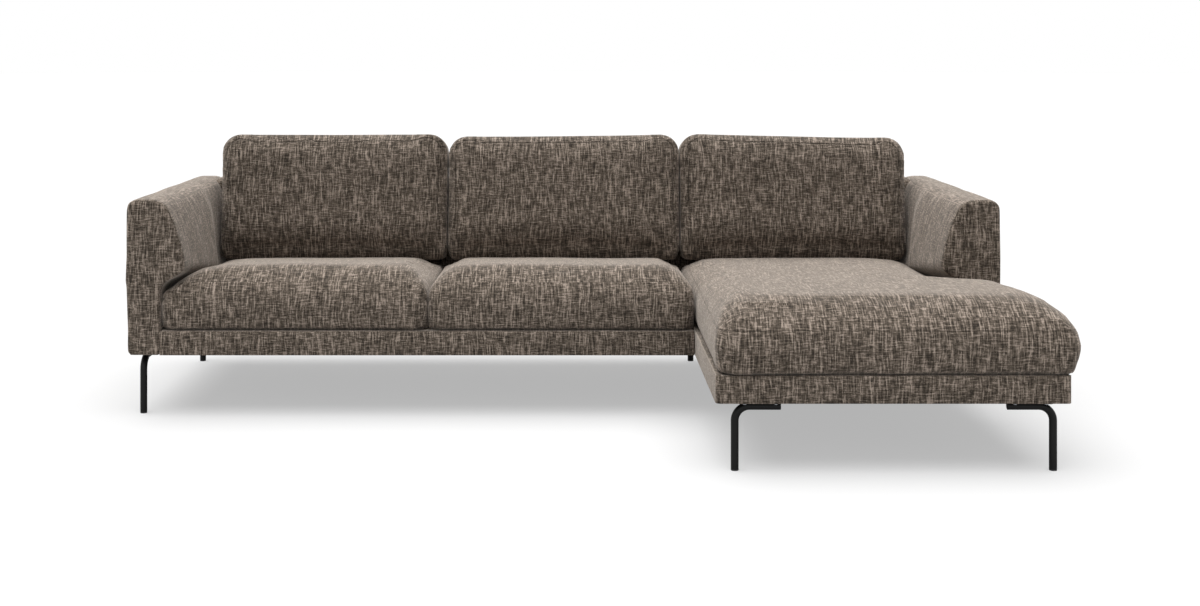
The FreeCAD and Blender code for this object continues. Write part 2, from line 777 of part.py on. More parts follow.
arm_side_crown = 205
save("left_seat_cushion", seat(seat_left + 1, seat_split_x - half_gap, arm_side_crown, 90))
save("middle_seat_cushion", seat(seat_split_x + half_gap, seat_right - 0.5, 90, 90))

chaise_cushion_plan = [(chaise_left + 1, chaise_front - 12), (chaise_right + 41, chaise_front - 12),
                       (chaise_right + 41, step_y - 2), (right_face - 2, step_y - 2),
                       (right_face - 2, seat_back_end), (chaise_left + 1, seat_back_end)]
chaise_shape = {"widest": 352, "rise": 101, "slope": 3, "pivot_y": -100, "hollow": 2,
                "foot_in": [10, 30, 8, 8, 10, 8], "crown_in": [150, 130, 60, 205, 140, 90]}
save("chaise_seat_cushion", seat_cushion(chaise_cushion_plan, [45, 45, 20, 20, 20, 20], chaise_shape))

save("left_back_cushion", back_cushion(-1254, -438))
save("middle_back_cushion", back_cushion(-434, 398))
save("chaise_back_cushion", back_cushion(402, 1214))

whole = group(list(nodes.values())).BoundBox
print("nodes", len(nodes))
print("box", [round(v, 1) for v in (whole.XMin, whole.XMax, whole.YMin, whole.YMax, whole.ZMin, whole.ZMax)])
for name in nodes:
    shape = nodes[name]
    if not shape.isValid() or shape.Volume <= 0:
        print("check this shape", name, shape.isValid(), round(shape.Volume))
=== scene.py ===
import bpy
import bmesh
import json
import math
from mathutils import Matrix, Vector, bvhtree, noise


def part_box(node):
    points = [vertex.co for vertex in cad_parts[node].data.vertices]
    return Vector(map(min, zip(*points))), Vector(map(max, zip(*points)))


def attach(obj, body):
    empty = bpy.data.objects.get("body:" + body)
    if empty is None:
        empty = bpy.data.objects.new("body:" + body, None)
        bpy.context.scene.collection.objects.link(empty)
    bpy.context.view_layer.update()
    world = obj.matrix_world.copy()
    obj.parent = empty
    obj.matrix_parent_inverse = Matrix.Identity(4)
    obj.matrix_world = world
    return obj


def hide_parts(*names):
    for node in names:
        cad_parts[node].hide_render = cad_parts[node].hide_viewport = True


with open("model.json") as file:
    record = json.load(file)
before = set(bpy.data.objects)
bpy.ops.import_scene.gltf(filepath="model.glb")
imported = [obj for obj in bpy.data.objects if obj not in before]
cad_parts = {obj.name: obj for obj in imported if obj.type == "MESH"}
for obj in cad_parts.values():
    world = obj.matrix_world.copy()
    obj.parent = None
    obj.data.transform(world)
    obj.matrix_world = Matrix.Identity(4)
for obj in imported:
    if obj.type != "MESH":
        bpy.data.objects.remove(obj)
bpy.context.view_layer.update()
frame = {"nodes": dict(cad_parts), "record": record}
scene = bpy.context.scene
cadNodes = frame["nodes"]


# shader maths

class Wire:
    def __init__(self, tree, socket):
        self.tree = tree
        self.socket = socket

    def math(self, operation, *others):
        node = self.tree.nodes.new("ShaderNodeMath")
        node.operation = operation
        for index, value in enumerate((self,) + others):
            if isinstance(value, Wire):
                self.tree.links.new(value.socket, node.inputs[index])
            else:
                node.inputs[index].default_value = value
        return Wire(self.tree, node.outputs[0])

    def swapped(self, operation, value):
        node = self.tree.nodes.new("ShaderNodeMath")
        node.operation = operation
        node.inputs[0].default_value = value
        self.tree.links.new(self.socket, node.inputs[1])
        return Wire(self.tree, node.outputs[0])

    def __add__(self, other):
        return self.math("ADD", other)

    def __sub__(self, other):
        return self.math("SUBTRACT", other)

    def __mul__(self, other):
        return self.math("MULTIPLY", other)

    def __truediv__(self, other):
        return self.math("DIVIDE", other)

    def __radd__(self, other):
        return self.math("ADD", other)

    def __rmul__(self, other):
        return self.math("MULTIPLY", other)

    def __rsub__(self, other):
        return self.swapped("SUBTRACT", other)


class Finish:
    def __init__(self, name):
        self.material = bpy.data.materials.new(name)
        self.material.use_nodes = True
        self.tree = self.material.node_tree
        self.tree.nodes.clear()

    def node(self, kind, settings=None, inputs=None, output=0):
        node = self.tree.nodes.new(kind)
        for key, value in (settings or {}).items():
            if key == "stops":
                ramp = node.color_ramp
                for index, (place, colour) in enumerate(value):
                    stop = ramp.elements[index] if index < 2 else ramp.elements.new(place)
                    stop.position = place
                    stop.color = colour
            else:
                setattr(node, key, value)
        for key, value in (inputs or {}).items():
            if isinstance(value, Wire):
                self.tree.links.new(value.socket, node.inputs[key])
            else:
                node.inputs[key].default_value = value
        return Wire(self.tree, node.outputs[output]) if node.outputs else None

    def parts(self, vector):
        split = self.node("ShaderNodeSeparateXYZ", inputs={0: vector})
        outputs = split.socket.node.outputs
        return [Wire(self.tree, outputs[index]) for index in range(3)]

    def joined(self, x, y, z):
        return self.node("ShaderNodeCombineXYZ", inputs={0: x, 1: y, 2: z})

    def noise(self, vector, scale, detail=2.0, roughness=0.5):
        return self.node("ShaderNodeTexNoise", inputs={"Vector": vector, "Scale": scale,
                                                       "Detail": detail, "Roughness": roughness})

    def choose(self, factor, low, high):
        return low + (high - low) * factor

    def blend(self, factor, low, high, mode="MIX"):
        return self.node("ShaderNodeMix", {"data_type": "RGBA", "blend_type": mode},
                         {0: factor, 6: low, 7: high}, output=2)

    def surface(self, inputs):
        shader = self.node("ShaderNodeBsdfPrincipled", inputs=inputs)
        self.node("ShaderNodeOutputMaterial", inputs={"Surface": shader})
        return self.material


def linear(red, green, blue):
    channels = []
    for value in (red, green, blue):
        share = value / 255
        channels.append(share / 12.92 if share <= 0.04045 else ((share + 0.055) / 1.055) ** 2.4)
    return (*channels, 1)


# fabric: a loose weave of flecked yarns, with pale slubs along the warp

weave = {
    "pitch": 0.0034, "warpFine": 250, "warpLong": 26, "weftFine": 250, "weftLong": 38,
    "slubFine": 150, "slubLong": 17, "slubRange": (0.62, 0.74), "patchScale": 22,
    "drift": 0.02, "driftScale": 7, "warpShare": 1.2, "weftShare": 0.8,
    "raisedShare": 0.8, "raisedMiddle": 0.58, "toneMiddle": 0.46,
    "fleckShare": 0.26, "patchShare": 0.14, "slubShare": 0.16, "seamShade": 0.4,
    "dark": (51, 45, 39), "mid": (99, 89, 79), "light": (163, 149, 137), "paintedSheenTone": (146, 139, 132),
    "paintedSheenAdd": 0.6, "paintedSheenPower": 3.0, "paintedSheenShare": 1.1,
    "sheen": 0.35, "sheenRoughness": 0.3, "sheenTint": (240, 230, 220),
    "bump": 0.0014,
}


def makeFabric(name, settings):
    finish = Finish(name)
    place = finish.node("ShaderNodeTexCoord", output=3)
    normal = finish.node("ShaderNodeTexCoord", output=1)
    x, y, z = finish.parts(place)
    nx, ny, nz = [part.math("ABSOLUTE") for part in finish.parts(normal)]
    isSide = nx.math("GREATER_THAN", ny.math("MAXIMUM", nz))
    isTop = nz.math("GREATER_THAN", ny.math("MAXIMUM", nx) * 1.1)
    across = finish.choose(isSide, x, y)
    along = finish.choose(isTop, z, y)
    drift = finish.noise(finish.joined(across, along, 0.3), settings["driftScale"], 1)
    drift = (drift - 0.5) * settings["drift"]
    u = across + drift
    v = along + drift * 0.7
    warp = finish.noise(finish.joined(u * settings["warpFine"], v * settings["warpLong"], 1.7), 1, 1.5)
    weft = finish.noise(finish.joined(u * settings["weftLong"], v * settings["weftFine"], 9.2), 1, 1.5)
    slub = finish.noise(finish.joined(u * settings["slubFine"], v * settings["slubLong"], 4.4), 1, 0)
    slubFrom, slubTo = settings["slubRange"]
    slubMask = finish.node("ShaderNodeMapRange", inputs={0: slub, 1: slubFrom, 2: slubTo, 3: 0.0, 4: 1.0})
    row = (u / settings["pitch"]).math("FLOOR")
    line = (v / settings["pitch"]).math("FLOOR")
    fleck = finish.node("ShaderNodeTexWhiteNoise", {"noise_dimensions": "2D"},
                        {"Vector": finish.joined(row, line, 0)})
    patch = finish.noise(finish.joined(across, along, 2.0), settings["patchScale"], 2)
    raised = warp.math("MAXIMUM", weft)
    paintedSeamShade = finish.node("ShaderNodeAttribute", {"attribute_name": "paintedSeamShade"}, output=2)
    tone = (warp - 0.5) * settings["warpShare"] + (weft - 0.5) * settings["weftShare"]
    tone = tone + (raised - settings["raisedMiddle"]) * settings["raisedShare"] + settings["toneMiddle"]
    tone = tone + (fleck - 0.5) * settings["fleckShare"] + (patch - 0.5) * settings["patchShare"]
    # painted shade: the seam attribute darkens the colour along the sewn grooves, more where the groove is
    # deeper
    tone = tone + slubMask * settings["slubShare"] - paintedSeamShade * settings["seamShade"]
    colour = finish.node("ShaderNodeValToRGB", {"stops": [
        (0.08, linear(*settings["dark"])), (0.92, linear(*settings["light"])),
        (0.5, linear(*settings["mid"]))]}, {0: tone})
    # painted sheen: the base colour is lifted towards a pale tone where the surface is seen at a grazing
    # angle, a painted highlight on top of the real sheen
    grazing = finish.node("ShaderNodeLayerWeight", inputs={"Blend": 0.5}, output=1)
    paintedSheenColour = finish.blend(settings["paintedSheenAdd"], colour, linear(*settings["paintedSheenTone"]), "ADD")
    paintedSheenMask = grazing.math("POWER", settings["paintedSheenPower"]) * settings["paintedSheenShare"]
    colour = finish.blend(paintedSheenMask, colour, paintedSheenColour)
    crown = ((u / settings["pitch"]).math("FRACT") - 0.5).math("ABSOLUTE")
    crown = crown + ((v / settings["pitch"]).math("FRACT") - 0.5).math("ABSOLUTE")
    height = raised * 1.6 + slubMask * 0.5 + fleck * 0.3 - crown * 0.5
    bump = finish.node("ShaderNodeBump", inputs={"Strength": 0.5, "Distance": settings["bump"],
                                                 "Height": height})
    return finish.surface({"Base Color": colour, "Roughness": 0.95, "Normal": bump,
                           "Specular IOR Level": 0.2, "Sheen Weight": settings["sheen"],
                           "Sheen Roughness": settings["sheenRoughness"],
                           "Sheen Tint": linear(*settings["sheenTint"])})


def makeCloth(name, colour, pitch, contrast):
    finish = Finish(name)
    x, y, z = finish.parts(finish.node("ShaderNodeTexCoord", output=3))
    perMetre = 6.283 / pitch  # a full wave for each thread
    ridge = ((x + z) * perMetre).math("SINE") * ((y + z) * perMetre).math("SINE")
    fuzz = finish.noise(finish.joined(x, y, z), 220, 2)
    tone = ridge * 0.25 + fuzz * 0.7 + 0.1
    low = [channel * (1 - contrast) for channel in linear(*colour)[:3]] + [1]
    high = [min(channel * (1 + contrast), 1) for channel in linear(*colour)[:3]] + [1]
    tint = finish.blend(tone, low, high)
    bump = finish.node("ShaderNodeBump", inputs={"Strength": 0.4, "Distance": 0.0006, "Height": tone})
    return finish.surface({"Base Color": tint, "Roughness": 0.9, "Normal": bump})


def makeTimber(name):
    finish = Finish(name)
    x, y, z = finish.parts(finish.node("ShaderNodeTexCoord", output=3))
    grain = finish.noise(finish.joined(x * 0.25, y * 3.0, z * 3.0), 14, 5, 0.6)
    rings = ((grain * 26).math("SINE") + 1) * 0.5
    fine = finish.noise(finish.joined(x * 2.0, y * 40, z * 40), 6, 3)
    tone = rings * 0.5 + fine * 0.5
    tint = finish.node("ShaderNodeValToRGB", {"stops": [
        (0.2, linear(201, 165, 117)), (0.8, linear(228, 198, 153))]}, {0: tone})
    bump = finish.node("ShaderNodeBump", inputs={"Strength": 0.2, "Distance": 0.0005, "Height": fine})
    return finish.surface({"Base Color": tint, "Roughness": 0.62, "Normal": bump})


def makeMetal(name, colour, metallic, rough, speck, gloss=0.5):
    finish = Finish(name)
    place = finish.node("ShaderNodeTexCoord", output=3)
    orange = finish.noise(place, 900, 1)
    wear = finish.noise(place, 35, 3)
    roughness = wear * 0.12 + (rough - 0.06)
    dark = [channel * (1 - speck) for channel in linear(*colour)[:3]] + [1]
    tint = finish.blend(wear, dark, linear(*colour))
    bump = finish.node("ShaderNodeBump", inputs={"Strength": 0.12, "Distance": 0.0002, "Height": orange})
    return finish.surface({"Base Color": tint, "Metallic": metallic, "Roughness": roughness,
                           "Specular IOR Level": gloss, "Normal": bump})


fabric = makeFabric("taupeWeave", weave)
slotFinishes = {
    "upholstery": fabric,
    "cushion_fabric": fabric,
    "lining_cloth": makeCloth("blackLining", (42, 42, 43), 0.003, 0.35),
    "webbing": makeCloth("jutebelt", (120, 96, 70), 0.004, 0.4),
    "foam": makeCloth("paleFoam", (226, 216, 186), 0.002, 0.12),
    "timber": makeTimber("planedTimber"),
    "black_steel": makeMetal("blackSteel", (22, 22, 22), 0.0, 0.4, 0.3, 0.2),
    "fasteners": makeMetal("zincSteel", (178, 180, 184), 1.0, 0.34, 0.2),
    "glides": makeMetal("blackPlastic", (32, 32, 33), 0.0, 0.55, 0.2),
}
for row in frame["record"]["subparts"]:
    node = cadNodes[row["node"]]
    node.data.materials.clear()
    node.data.materials.append(slotFinishes[row["material_slot"]])
print("materials ready")


# shared steps for pieces

def newPiece(name, mesh, body, finish):
    bmesh.ops.recalc_face_normals(mesh, faces=mesh.faces)
    data = bpy.data.meshes.new(name)
    mesh.to_mesh(data)
    mesh.free()
    piece = bpy.data.objects.new(name, data)
    scene.collection.objects.link(piece)
    data.materials.append(finish)
    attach(piece, body)
    return piece


def shadeSmooth(piece):
    for polygon in piece.data.polygons:
        polygon.use_smooth = True


def applied(piece):
    bpy.context.view_layer.update()
    graph = bpy.context.evaluated_depsgraph_get()
    result = bpy.data.meshes.new_from_object(piece.evaluated_get(graph))
    piece.modifiers.clear()
    old = piece.data
    piece.data = result
    bpy.data.meshes.remove(old)


def remeshed(piece, voxel):
    modifier = piece.modifiers.new("even", "REMESH")
    modifier.mode = "VOXEL"
    modifier.voxel_size = voxel
    modifier.use_smooth_shade = True
    applied(piece)


def relaxed(piece, passes, share=0.5):
    mesh = bmesh.new()
    mesh.from_mesh(piece.data)
    for step in range(passes):
        bmesh.ops.smooth_vert(mesh, verts=mesh.verts, factor=share, use_axis_x=True, use_axis_y=True,
                              use_axis_z=True)
    mesh.to_mesh(piece.data)
    mesh.free()


def divided(piece):
    modifier = piece.modifiers.new("finer", "SUBSURF")
    modifier.levels = modifier.render_levels = 1
    applied(piece)


def copyOfNodes(names):
    mesh = bmesh.new()
    for name in names:
        mesh.from_mesh(cadNodes[name].data)
    bmesh.ops.remove_doubles(mesh, verts=mesh.verts, dist=0.00002)
    return mesh


stuffing = {"quality": 4, "mass": 0.35, "shear": 0.6, "bending": 0.6, "frames": 20}


def puffed(piece, settings):
    rest = [vertex.co.copy() for vertex in piece.data.vertices]
    modifier = piece.modifiers.new("stuffing", "CLOTH")
    cloth = modifier.settings
    cloth.quality = stuffing["quality"]
    cloth.mass = stuffing["mass"]
    cloth.tension_stiffness = settings["stiffness"]
    cloth.compression_stiffness = settings["stiffness"]
    cloth.shear_stiffness = settings["stiffness"] * stuffing["shear"]
    cloth.bending_stiffness = stuffing["bending"]
    cloth.use_pressure = True
    cloth.uniform_pressure_force = settings["pressure"]
    cloth.shrink_min = settings["shrink"]
    cloth.effector_weights.gravity = 0
    modifier.collision_settings.use_collision = False
    modifier.collision_settings.use_self_collision = False
    cache = modifier.point_cache
    cache.frame_start = 1
    cache.frame_end = stuffing["frames"]
    for step in range(1, stuffing["frames"] + 1):
        scene.frame_set(step)
    applied(piece)
    scene.frame_set(1)
    for vertex, start in zip(piece.data.vertices, rest):
        move = vertex.co - start
        if move.length > settings["cap"]:
            vertex.co = start + move * (settings["cap"] / move.length)


def between(table, value):
    for (low, lowAmount), (high, highAmount) in zip(table, table[1:]):
        if low <= value <= high:
            return lowAmount + (highAmount - lowAmount) * (value - low) / (high - low)
    return 0.0


def smoothStep(value, low, high):
    share = min(max((value - low) / (high - low), 0), 1)
    return share * share * (3 - 2 * share)


def drawnTo(piece, source, shareAt):
    tree = bvhtree.BVHTree.FromBMesh(source)
    for vertex in piece.data.vertices:
        nearest, normal = tree.find_nearest(vertex.co)[:2]
        vertex.co = vertex.co.lerp(nearest, shareAt(vertex.co, normal))


sewing = {"wide": 0.003, "near": 0.03, "merge": 0.0004, "onLine": 0.0006, "paintedShadeFullAt": 0.002}


def sewn(piece, point, normal, deep, keep):
    # cuts three close rows of edges along a plane, and draws the middle one in, writing a painted shade
    # amount there that grows with the groove's depth
    mesh = bmesh.new()
    mesh.from_mesh(piece.data)
    layer = mesh.verts.layers.float.get("paintedSeamShade") or mesh.verts.layers.float.new("paintedSeamShade")
    for offset in (-sewing["wide"], 0, sewing["wide"]):
        near = [face for face in mesh.faces if keep(face.calc_center_median())
                and abs((face.calc_center_median() - point).dot(normal) - offset) < sewing["near"]]
        parts = near + list({edge for face in near for edge in face.edges})
        parts += list({vert for face in near for vert in face.verts})
        bmesh.ops.bisect_plane(mesh, geom=parts, dist=sewing["merge"],
                               plane_co=point + normal * offset, plane_no=normal)
    mesh.normal_update()
    for vert in mesh.verts:
        if abs((vert.co - point).dot(normal)) < sewing["onLine"] and keep(vert.co):
            vert.co -= vert.normal * deep
            vert[layer] = min(deep / sewing["paintedShadeFullAt"], 1)
    mesh.to_mesh(piece.data)
    mesh.free()


def fitted(piece, low, high):
    corners = [vertex.co for vertex in piece.data.vertices]
    for axis in range(3):
        smallest = min(corner[axis] for corner in corners)
        largest = max(corner[axis] for corner in corners)
        grow = (high[axis] - low[axis]) / (largest - smallest)
        for corner in corners:
            corner[axis] = low[axis] + (corner[axis] - smallest) * grow


def softened(piece, size, height, seed):
    normals = [vertex.normal.copy() for vertex in piece.data.vertices]
    for vertex, normal in zip(piece.data.vertices, normals):
        place = vertex.co / size + Vector((seed, seed * 0.37, -seed))
        vertex.co += normal * (noise.noise(place) * height)


# loose cushions

seatSettings = {
    "voxel": 0.0125, "shrinkIn": 0.003, "pressure": 4.0, "stiffness": 12, "shrink": -0.02, "cap": 0.022,
    "relax": 1, "wave": 0.004, "waveSize": 0.17, "low": (0.05, 0.12), "high": 0.6, "crisp": 0.030,
    "loose": Vector((0, 0, 1)), "fill": 0.85, "seed": 3.1, "seedStep": 4.7,
    "seamHeight": 0.398, "seamDepths": (0.0006, 0.0006, 0.0012),
}
lean = math.radians(8)
backFront = Vector((0, -math.cos(lean), math.sin(lean)))  # square to the front of a leaning back cushion
backSettings = {
    "voxel": 0.0125, "shrinkIn": 0.003, "pressure": 4.0, "stiffness": 10, "shrink": -0.03, "cap": 0.022,
    "relax": 1, "wave": 0.005, "waveSize": 0.15, "low": (0.02, 0.09), "high": 0.6, "crisp": 0.026,
    "loose": backFront, "fill": 0.75, "seed": 17.3, "seedStep": 5.9,
    "foot": Vector((0, 0.436, 0.4305)), "seams": (-0.017, -0.146), "seamDepth": 0.0022, "seamFrom": 0.56,
    "tuck": 0.024, "tuckHeight": 0.13, "tuckDepth": 0.11,
    "liftHeights": (0.62, 0.83), "topLifts": ((0.006, 0.006), (-0.003, 0.004), (0.006, -0.008)),
}
cushionSettings = {  # what all six share
    "facing": (0.75, 0.98), "evened": 0.35, "swell": 0.0025, "swellSize": 0.3, "swellSeed": 1.7,
    "crispPower": 2.6, "crispFrom": 0.10, "crispTo": 0.9,
}


def crisped(piece, low, high, wide, sides):
    # draws the rounding at the foot, and at upright side edges, into a tight edge
    power = cushionSettings["crispPower"]
    sideTop = (high.z - low.z) * cushionSettings["crispTo"]
    for vertex in piece.data.vertices:
        rise = vertex.co.z - low.z
        if rise < wide:
            vertex.co.z = low.z + wide * (max(rise, 0) / wide) ** power
        if not sides:
            continue
        share = 1 - smoothStep(rise, cushionSettings["crispFrom"], sideTop)
        for edge, way in ((low.x, 1), (high.x, -1)):
            reach = (vertex.co.x - edge) * way
            if 0 <= reach < wide:
                drawn = wide * (reach / wide) ** power
                vertex.co.x += way * (drawn - reach) * share


def looseCushion(name, node, settings, index, sides):
    seed = settings["seed"] + index * settings["seedStep"]
    source = copyOfNodes([node])
    piece = newPiece(name, copyOfNodes([node]), node, fabric)
    low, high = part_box(node)
    remeshed(piece, settings["voxel"])
    relaxed(piece, settings["relax"])
    for vertex, normal in zip(piece.data.vertices, [v.normal.copy() for v in piece.data.vertices]):
        vertex.co -= normal * settings["shrinkIn"]
    puffed(piece, settings)
    softened(piece, settings["waveSize"], settings["wave"], seed)
    divided(piece)
    bottom, top = settings["low"]

    def shareAt(place, normal):
        free = smoothStep(place.z, low.z + bottom, low.z + top)
        facing = smoothStep(normal.dot(settings["loose"]), *cushionSettings["facing"])
        return 1 - free * facing * (1 - settings["high"])

    drawnTo(piece, source, shareAt)
    relaxed(piece, 1, cushionSettings["evened"])
    source.free()
    fitted(piece, low, high)
    softened(piece, cushionSettings["swellSize"], cushionSettings["swell"],
             seed * cushionSettings["swellSeed"])
    crisped(piece, low, high, settings["crisp"], sides)
    shadeSmooth(piece)
    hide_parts(node)
    print("cushion", name, len(piece.data.polygons))
    return piece


def lifted(piece, leftLift, rightLift, settings):
    # no two of the loose cushions stand quite level
    corners = [vertex.co for vertex in piece.data.vertices]
    left = min(corner.x for corner in corners)
    right = max(corner.x for corner in corners)
    for corner in corners:
        lift = leftLift + (rightLift - leftLift) * (corner.x - left) / (right - left)
        corner.z += lift * smoothStep(corner.z, *settings["liftHeights"])


def tucked(piece, settings):
    # the lower front of a back cushion gives way above the seat
    foot = settings["foot"]
    for vertex in piece.data.vertices:
        depth = -(vertex.co - foot).dot(backFront)
        share = 1 - smoothStep(vertex.co.z - foot.z, 0, settings["tuckHeight"])
        share *= 1 - smoothStep(depth, 0, settings["tuckDepth"])
        vertex.co -= backFront * (settings["tuck"] * share)


seats = []
for index, (name, node) in enumerate((("seatCushionLeft", "left_seat_cushion"),
                                      ("seatCushionMiddle", "middle_seat_cushion"),
                                      ("seatCushionChaise", "chaise_seat_cushion"))):
    cushion = looseCushion(name, node, seatSettings, index, index < 2)
    level = Vector((0, 0, seatSettings["seamHeight"]))
    sewn(cushion, level, Vector((0, 0, 1)), seatSettings["seamDepths"][index], lambda place: True)
    seats.append(cushion)
for index, (name, node) in enumerate((("backCushionLeft", "left_back_cushion"),
                                      ("backCushionMiddle", "middle_back_cushion"),
                                      ("backCushionChaise", "chaise_back_cushion"))):
    cushion = looseCushion(name, node, backSettings, index, False)
    for depth in backSettings["seams"]:
        sewn(cushion, backSettings["foot"] + backFront * depth, backFront, backSettings["seamDepth"],
             lambda place: place.z > backSettings["seamFrom"])
    tucked(cushion, backSettings)
    lifted(cushion, *backSettings["topLifts"][index], backSettings)


# arms: one padded block each, with a belly over the seat and a soft edge all round

armSettings = {
    "front": -0.125, "rear": 0.785, "edge": 0.020, "voxel": 0.011,
    "corners": [  # x, z and the rounding of each corner of the left arm's end
        (-1.308, 0.197, 0.0), (-1.308, 0.412, 0.010), (-1.286, 0.433, 0.0), (-1.2436, 0.455, 0.0),
        (-1.226, 0.472, 0.014), (-1.2425, 0.556, 0.0),
        (-1.268, 0.634, 0.018), (-1.296, 0.693, 0.034), (-1.4175, 0.693, 0.030), (-1.4195, 0.430, 0.0),
        (-1.409, 0.197, 0.006)],
    "squeeze": [(0.40, 0.0), (0.461, 0.013), (0.488, 0.027), (0.556, 0.020), (0.634, 0.006), (0.70, 0.0)],
    "squeezeRows": (0.35, 0.44), "fall": 0.13, "fallFrom": -0.10, "fallHeights": (0.48, 0.62),
    "clear": 0.0015, "innerWithin": 1.325, "bellyFoot": (0.33, 0.40), "footHeights": (0.22, 0.30),
    "restWithin": 1.2845, "restBelow": 0.52, "castFrom": 0.7, "wave": 0.002, "waveSize": 0.14, "seed": 7.7,
    "fill": 0.95,
}
middleX = -0.020


def outlineFace(mesh, points, toPlace):
    mesh.faces.new([mesh.verts.new(toPlace(point)) for point in points])


def roundedBlock(corners, toPlace, depth, edge):
    mesh = bmesh.new()
    outlineFace(mesh, corners, toPlace)
    verts = list(mesh.verts)
    for vert, corner in zip(verts, corners):
        if corner[2]:
            bmesh.ops.bevel(mesh, geom=[vert], offset=corner[2], offset_type="OFFSET", segments=6,
                            profile=0.5, affect="VERTICES", material=-1)
    swept = bmesh.ops.extrude_face_region(mesh, geom=list(mesh.faces))
    moved = [item for item in swept["geom"] if isinstance(item, bmesh.types.BMVert)]
    bmesh.ops.translate(mesh, verts=moved, vec=depth)
    ends = [face for face in mesh.faces if abs(face.normal.dot(depth.normalized())) > 0.99]
    rims = list({rim for end in ends for rim in end.edges})
    bmesh.ops.bevel(mesh, geom=rims, offset=edge, offset_type="OFFSET", segments=5, profile=0.5,
                    affect="EDGES", clamp_overlap=True, material=-1)
    bmesh.ops.recalc_face_normals(mesh, faces=mesh.faces)
    return mesh


def restedOn(piece, cushion, settings):
    # the belly of the arm follows the cushion that is pressed against it
    mesh = bmesh.new()
    mesh.from_mesh(cushion.data)
    tree = bvhtree.BVHTree.FromBMesh(mesh)
    mesh.free()
    for vertex in piece.data.vertices:
        if abs(vertex.co.x - middleX) > settings["restWithin"] or vertex.co.z > settings["restBelow"]:
            continue
        above = Vector((vertex.co.x, vertex.co.y, settings["castFrom"]))
        hit = tree.ray_cast(above, Vector((0, 0, -1)))[0]
        if hit and hit.z + settings["clear"] > vertex.co.z:
            vertex.co.z = hit.z + settings["clear"]


def makeArm(name, body, nodes, flip, cushion, settings):
    depth = Vector((0, settings["rear"] - settings["front"], 0))
    mesh = roundedBlock(settings["corners"], lambda c: (c[0], settings["front"], c[1]), depth,
                        settings["edge"])
    if flip:
        bmesh.ops.scale(mesh, verts=mesh.verts, vec=(-1, 1, 1))
        bmesh.ops.translate(mesh, verts=mesh.verts, vec=(2 * middleX, 0, 0))
    block = mesh.copy()
    piece = newPiece(name, mesh, body, fabric)
    remeshed(piece, settings["voxel"])
    relaxed(piece, 3)
    side = 1 if flip else -1
    for vertex in piece.data.vertices:
        inner = (vertex.co.x - middleX) * side < settings["innerWithin"]
        if inner:
            share = smoothStep(vertex.co.y, *settings["squeezeRows"])
            vertex.co.x += side * share * between(settings["squeeze"], vertex.co.z)
            fall = max(vertex.co.y - settings["fallFrom"], 0) * settings["fall"]
            belly = smoothStep(vertex.co.z, *settings["bellyFoot"])
            belly *= 1 - smoothStep(vertex.co.z, *settings["fallHeights"])
            vertex.co.z -= fall * belly
    softened(piece, settings["waveSize"], settings["wave"], settings["seed"] + side)
    divided(piece)
    drawnTo(piece, block, lambda place, normal: 1 - smoothStep(place.z, *settings["footHeights"]))
    block.free()
    restedOn(piece, cushion, settings)
    shadeSmooth(piece)
    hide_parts(*nodes)
    print("arm", name, len(piece.data.polygons))


makeArm("armLeft", "two_seat_unit", ("left_arm_cover", "left_arm_foam"), False, seats[0], armSettings)
makeArm("armRight", "chaise_unit", ("right_arm_cover", "right_arm_foam"), True, seats[2], armSettings)


# backs behind the loose cushions

backRestSettings = {
    "voxel": 0.012, "edge": 0.006,
    "corners": [  # y, z and rounding, seen from the left end
        (0.785, 0.197, 0.0), (0.602, 0.197, 0.0), (0.602, 0.420, 0.0), (0.6402, 0.693, 0.026),
        (0.785, 0.693, 0.030)],
    "wave": 0.001, "waveSize": 0.2, "seed": 9, "fill": 0.95,
}


def makeBackRest(name, body, nodes, left, right, settings):
    mesh = roundedBlock(settings["corners"], lambda c: (left, c[0], c[1]), Vector((right - left, 0, 0)),
                        settings["edge"])
    block = mesh.copy()
    piece = newPiece(name, mesh, body, fabric)
    remeshed(piece, settings["voxel"])
    relaxed(piece, 2)
    divided(piece)
    drawnTo(piece, block, lambda place, normal: 1)
    block.free()
    softened(piece, settings["waveSize"], settings["wave"], right * settings["seed"])
    shadeSmooth(piece)
    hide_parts(*nodes)
    print("back rest", name, len(piece.data.polygons))


makeBackRest("backRestTwoSeat", "two_seat_unit", ("two_seat_back_cover", "two_seat_back_foam"),
             -1.3085, 0.399, backRestSettings)
makeBackRest("backRestChaise", "chaise_unit", ("chaise_back_cover", "chaise_back_foam"),
             0.401, 1.2685, backRestSettings)


# plinths: the sewn skirts round the seat bases, turned in over the rails

plinthSettings = {
    "bottom": 0.197, "top": 0.274, "flange": 0.060, "thick": 0.003, "edge": 0.005, "fold": 0.0012,
}


